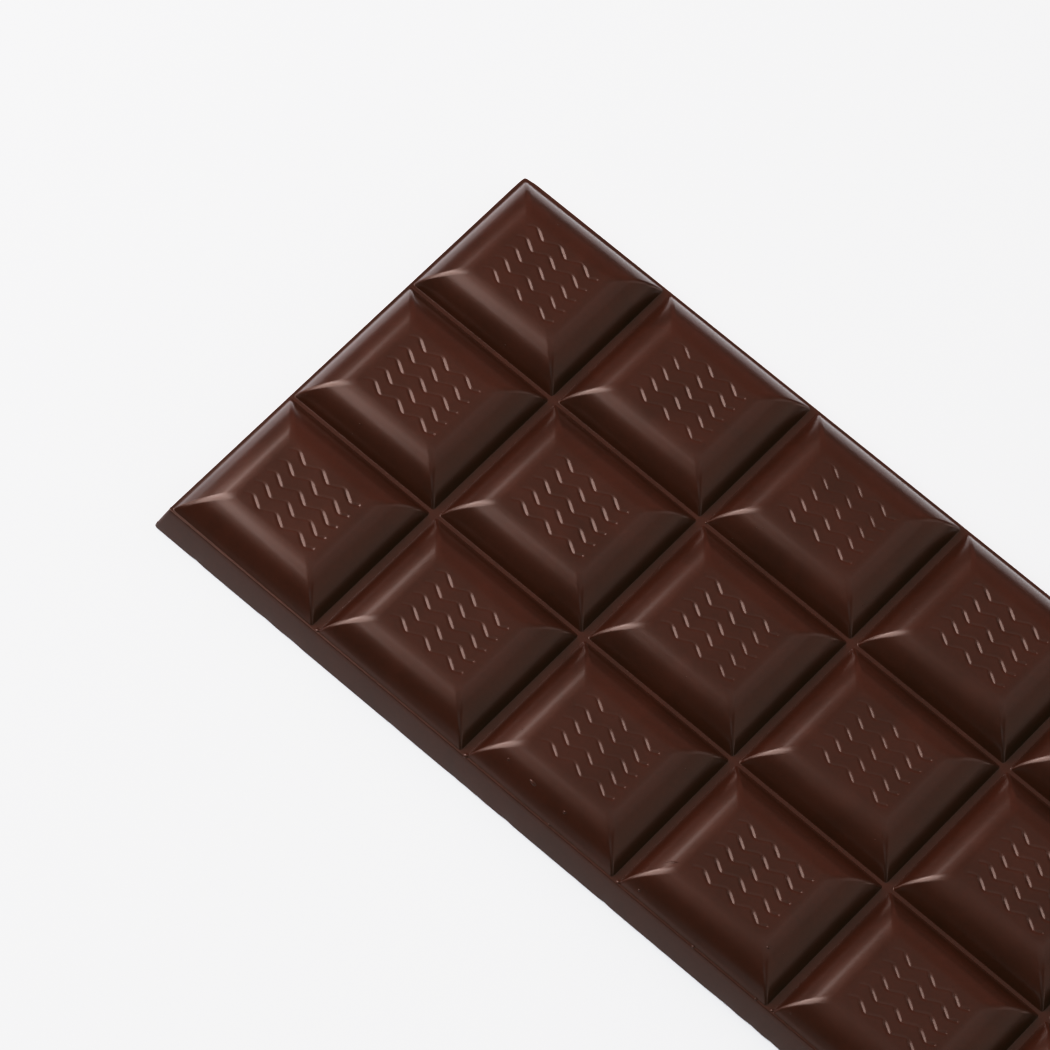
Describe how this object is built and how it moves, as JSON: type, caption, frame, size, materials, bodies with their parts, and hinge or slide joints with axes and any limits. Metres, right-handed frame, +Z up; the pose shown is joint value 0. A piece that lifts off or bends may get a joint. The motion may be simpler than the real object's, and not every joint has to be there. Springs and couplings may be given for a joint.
{
  "type": "dark chocolate bar",
  "caption": "Moulded dark chocolate bar: a drafted slab with rows of pillow-shaped pads, narrow breaking strips and wavy grooves on each pad.",
  "frame": {"origin": "middle of the flat underside", "axes": "+Z up out of the pads, X along the bar's length, Y across its width"},
  "size_m": [0.1336, 0.0616, 0.0066],
  "materials": {
    "dark_chocolate": "well-tempered dark chocolate, reddish brown with a satin sheen, faint swirls and tiny air pinholes"
  },
  "bodies": {
    "root": {"chocolate_bar": "dark_chocolate"}
  },
  "joints": []
}
